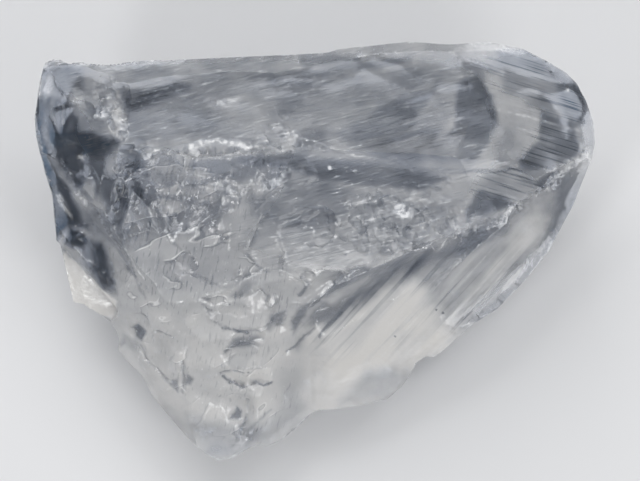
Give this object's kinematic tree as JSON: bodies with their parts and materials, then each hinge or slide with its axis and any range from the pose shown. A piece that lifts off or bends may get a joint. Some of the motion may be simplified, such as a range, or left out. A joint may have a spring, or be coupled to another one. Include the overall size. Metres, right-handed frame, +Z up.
{
  "type": "petalite",
  "caption": "Broken piece of clear to milky petalite with shell-shaped fracture faces, lying on a flat cleavage face.",
  "frame": {"origin": "on the flat face that the piece rests on, under the middle of its outline seen from above", "axes": "+X along its length towards the rounded end, +Y towards its straight long edge, +Z up"},
  "size_m": [0.05, 0.0376, 0.0157],
  "materials": {
    "petalite": "clear to milky stone, glassy on smooth fractures and frosted where it crumbled"
  },
  "bodies": {
    "root": {"petalite": "petalite"}
  },
  "joints": []
}
